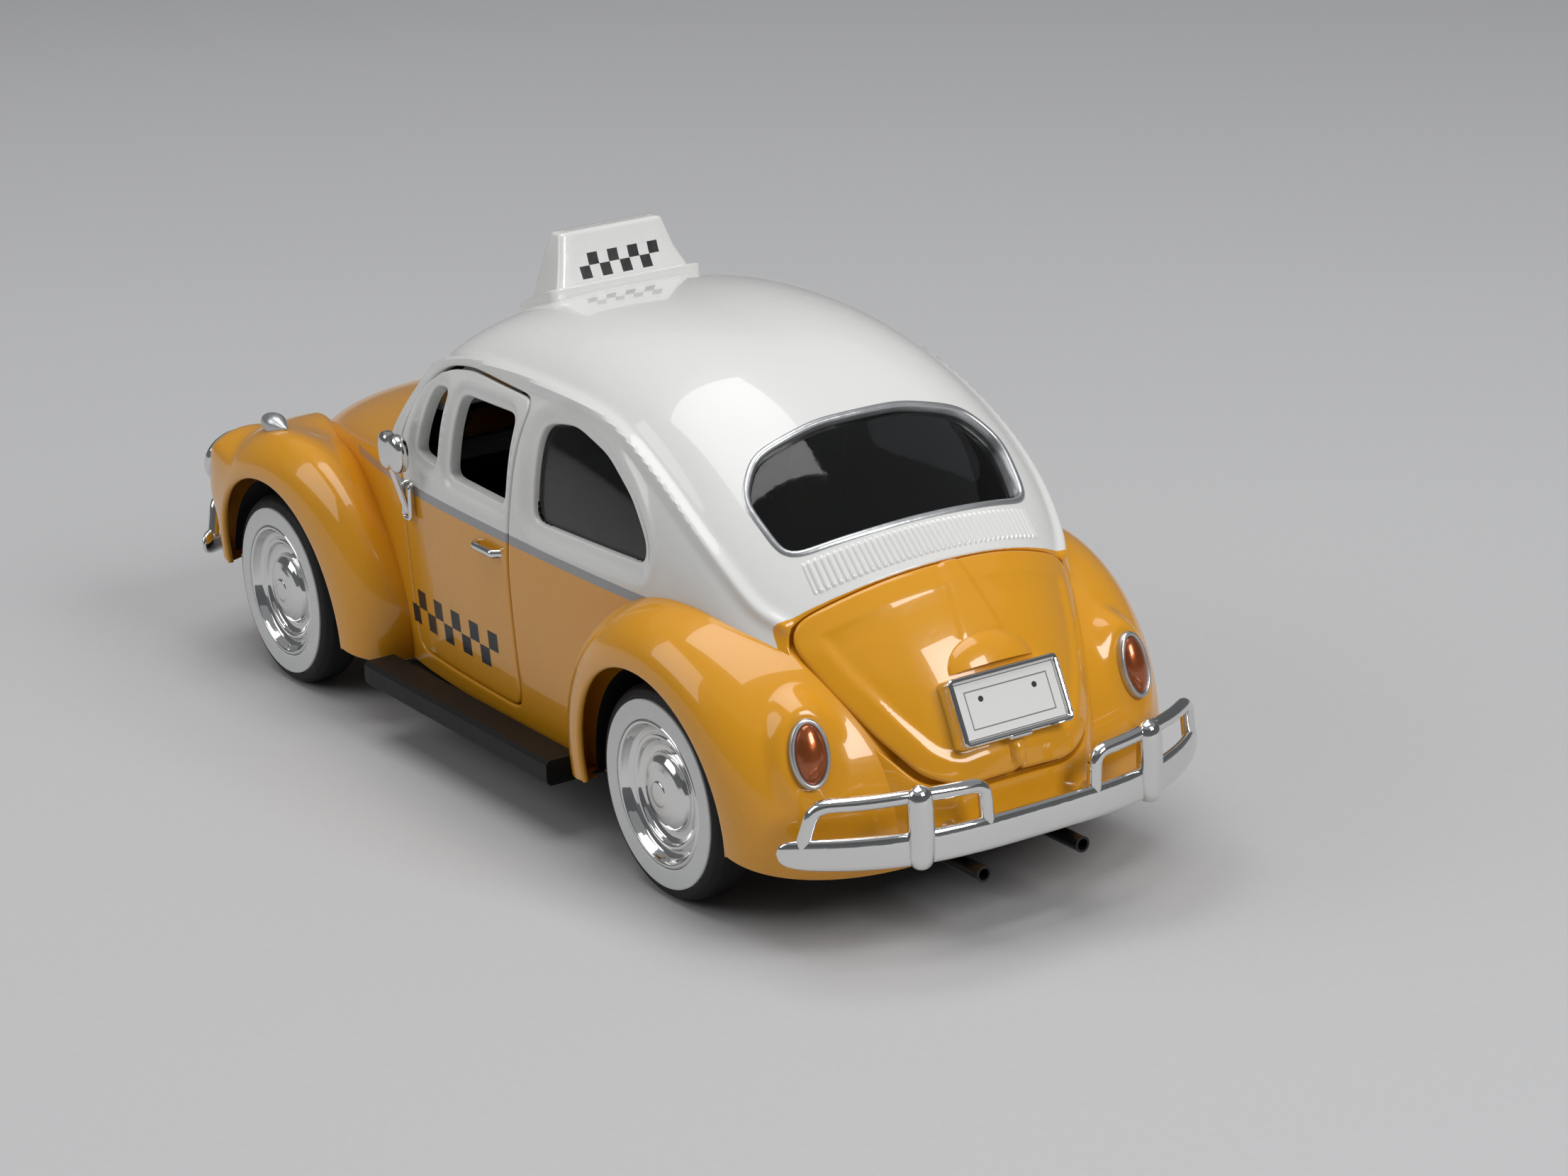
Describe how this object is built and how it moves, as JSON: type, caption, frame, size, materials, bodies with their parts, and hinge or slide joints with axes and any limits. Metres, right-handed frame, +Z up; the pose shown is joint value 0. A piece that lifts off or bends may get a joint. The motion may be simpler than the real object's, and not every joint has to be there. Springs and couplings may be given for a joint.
{
  "type": "toy taxi",
  "caption": "Rounded die-cast toy taxi saloon with a roof sign, hinged doors, a hinged engine lid and free-rolling wheels on through axles.",
  "frame": {"origin": "on the ground under the middle of the overall length and width", "axes": "+X forward, +Y to the car's left, +Z up; the tyres stand on z = 0"},
  "size_m": [0.1692, 0.064, 0.0685],
  "materials": {
    "body_paint": "high gloss yellow paint on die-cast metal",
    "white_paint": "gloss white paint",
    "black_plastic": "semi-gloss moulded black plastic",
    "chrome": "bright plating",
    "clear_glazing": "clear moulded plastic",
    "amber_lens": "metallic amber paint",
    "tyre_rubber": "satin soft rubber",
    "whitewall": "satin white",
    "steel": "plain steel",
    "engine_grey": "satin grey plastic"
  },
  "bodies": {
    "body": {"body_shell": "body_paint", "base_plate": "black_plastic", "interior_tub": "black_plastic", "front_seat_left": "black_plastic", "front_seat_right": "black_plastic", "rear_seat": "black_plastic", "dashboard": "black_plastic", "steering_wheel": "black_plastic", "windscreen": "clear_glazing", "rear_window": "clear_glazing", "quarter_window_left": "clear_glazing", "quarter_window_right": "clear_glazing", "front_bumper": "chrome", "rear_bumper": "chrome", "headlight_rim_left": "chrome", "headlight_rim_right": "chrome", "headlight_lens_left": "clear_glazing", "headlight_lens_right": "clear_glazing", "turn_signal_left": "chrome", "turn_signal_right": "chrome", "tail_light_rim_left": "chrome", "tail_light_rim_right": "chrome", "tail_light_lens_left": "amber_lens", "tail_light_lens_right": "amber_lens", "roof_sign": "white_paint", "exhaust_pipes": "engine_grey", "engine_block": "engine_grey", "fan_shroud": "black_plastic", "generator": "engine_grey", "air_cleaner": "black_plastic", "base_screws": "steel", "door_hinge_posts_left": "body_paint", "door_hinge_posts_right": "body_paint", "lid_hinge_pin": "steel"},
    "left_door": {"door_left": "body_paint", "door_hinges_left": "body_paint", "door_handle_left": "chrome", "door_mirror_left": "chrome"},
    "right_door": {"door_right": "body_paint", "door_hinges_right": "body_paint", "door_handle_right": "chrome"},
    "engine_lid": {"engine_lid": "body_paint", "lid_hinge_arms": "body_paint", "plate_frame": "chrome", "number_plate": "white_paint"},
    "front_wheels": {"front_axle": "steel", "tyre_front_left": "tyre_rubber", "tyre_front_right": "tyre_rubber", "whitewall_front_left": "whitewall", "whitewall_front_right": "whitewall", "wheel_front_left": "chrome", "wheel_front_right": "chrome"},
    "rear_wheels": {"rear_axle": "steel", "tyre_rear_left": "tyre_rubber", "tyre_rear_right": "tyre_rubber", "whitewall_rear_left": "whitewall", "whitewall_rear_right": "whitewall", "wheel_rear_left": "chrome", "wheel_rear_right": "chrome"}
  },
  "joints": [
    {"name": "left_door_hinge", "type": "hinge", "parent": "body", "child": "left_door", "pos_m": [0.02305, 0.02533, 0.026], "axis": [0, 0, -1], "range_deg": [0, 65]},
    {"name": "right_door_hinge", "type": "hinge", "parent": "body", "child": "right_door", "pos_m": [0.02305, -0.02533, 0.026], "axis": [0, 0, 1], "range_deg": [0, 65]},
    {"name": "engine_lid_hinge", "type": "hinge", "parent": "body", "child": "engine_lid", "pos_m": [-0.06085, 0, 0.04177], "axis": [0, 1, 0], "range_deg": [0, 48]},
    {"name": "front_axle_spin", "type": "hinge", "parent": "body", "child": "front_wheels", "pos_m": [0.05385, 0, 0.01335], "axis": [0, 1, 0], "continuous": true},
    {"name": "rear_axle_spin", "type": "hinge", "parent": "body", "child": "rear_wheels", "pos_m": [-0.04615, 0, 0.01335], "axis": [0, 1, 0], "continuous": true}
  ]
}
